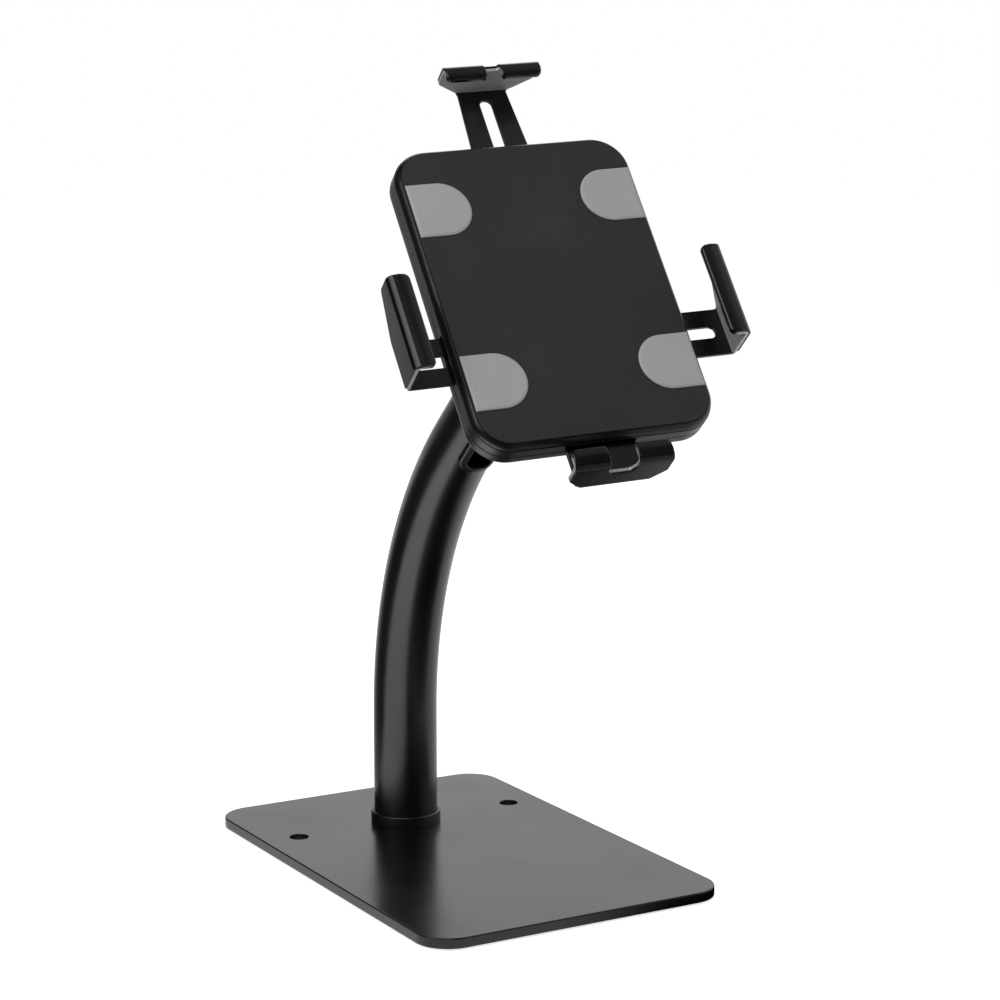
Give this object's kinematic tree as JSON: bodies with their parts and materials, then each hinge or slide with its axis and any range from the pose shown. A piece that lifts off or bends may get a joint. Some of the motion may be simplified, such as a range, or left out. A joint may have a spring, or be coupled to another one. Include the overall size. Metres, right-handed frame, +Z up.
{
  "type": "anti-theft tablet desk stand",
  "caption": "Desk stand with a flat base, a bent pole and a ball joint that carries a lockable tablet holder with sliding hooked arms.",
  "frame": {"origin": "on the desk, under the axis of the pole's upright foot, midway between the two desk bolts", "axes": "+Z up, the tablet side faces -Y, +X to the right of a person who uses the tablet"},
  "size_m": [0.1987, 0.3401, 0.4627],
  "materials": {
    "black_steel": "satin black powder coat",
    "bare_steel": "bright zinc-plated steel",
    "polished_steel": "polished steel ball",
    "chrome": "nickel-plated lock",
    "black_aluminium": "black satin coat; stands in for anodised aluminium",
    "case_plastic": "charcoal satin moulding",
    "panel_plastic": "charcoal, fine grain",
    "black_plastic": "black satin moulding",
    "nylon": "natural nylon",
    "pad_rubber": "mid grey silicone rubber",
    "sheet_rubber": "black anti-slip sheet",
    "sleeve_rubber": "black soft sleeve, satin"
  },
  "bodies": {
    "stand": {"base_plate": "black_steel", "base_sheet": "sheet_rubber", "pole": "black_steel", "pole_collar": "black_plastic", "pole_foot": "bare_steel", "foot_screws": "bare_steel", "upper_grommet": "black_plastic", "lower_grommet": "black_plastic", "end_fitting": "black_steel", "fitting_screws": "bare_steel", "ball_stud": "polished_steel"},
    "liner": {"ball_liner": "nylon"},
    "socket": {"socket_housing": "black_aluminium", "clamp_ring": "black_aluminium", "ring_screw": "bare_steel"},
    "head": {"turn_washer": "nylon", "turn_retainer": "bare_steel", "retainer_screws": "bare_steel", "carrier_plate": "bare_steel", "guide_pins": "nylon", "top_guide_stud": "bare_steel", "clamp_screws": "bare_steel", "clamp_nuts": "bare_steel", "front_cover": "case_plastic", "back_cover": "case_plastic", "front_panel": "panel_plastic", "top_left_pad": "pad_rubber", "top_right_pad": "pad_rubber", "bottom_left_pad": "pad_rubber", "bottom_right_pad": "pad_rubber", "bottom_bracket": "black_steel", "bottom_sleeve": "sleeve_rubber", "bottom_screws": "bare_steel", "case_screws": "bare_steel", "lock_barrel": "chrome"},
    "lock": {"lock_plug": "chrome", "lock_cam": "bare_steel"},
    "top_arm": {"top_bracket": "black_steel", "top_sleeve": "sleeve_rubber"},
    "left_arm": {"left_bracket": "black_steel", "left_sleeve": "sleeve_rubber"},
    "right_arm": {"right_bracket": "black_steel", "right_sleeve": "sleeve_rubber"}
  },
  "joints": [
    {"name": "head_swivel", "type": "hinge", "parent": "stand", "child": "liner", "pos_m": [0, -0.14422, 0.31649], "axis": [0, 0.6896, 0.7242], "range_deg": [-12, 27]},
    {"name": "head_tilt", "type": "hinge", "parent": "liner", "child": "socket", "pos_m": [0, -0.14422, 0.31649], "axis": [0.9907, -0.0983, 0.0936], "range_deg": [-25, 14]},
    {"name": "head_turn", "type": "hinge", "parent": "socket", "child": "head", "pos_m": [-0.00696, -0.18435, 0.34801], "axis": [-0.1351, -0.7792, 0.6121], "range_deg": [-87, 93]},
    {"name": "top_arm_slide", "type": "slide", "parent": "head", "child": "top_arm", "axis": [-0.0356, -0.6135, -0.7889], "range_m": [0, 0.038]},
    {"name": "left_arm_slide", "type": "slide", "parent": "head", "child": "left_arm", "axis": [0.9902, -0.1284, 0.0551], "range_m": [0, 0.023]},
    {"name": "right_arm_slide", "type": "slide", "parent": "head", "child": "right_arm", "axis": [-0.9902, 0.1284, -0.0551], "range_m": [0, 0.023]},
    {"name": "lock_turn", "type": "hinge", "parent": "head", "child": "lock", "pos_m": [0.02325, -0.15008, 0.37869], "axis": [-0.1351, -0.7792, 0.6121], "range_deg": [0, 90]}
  ]
}
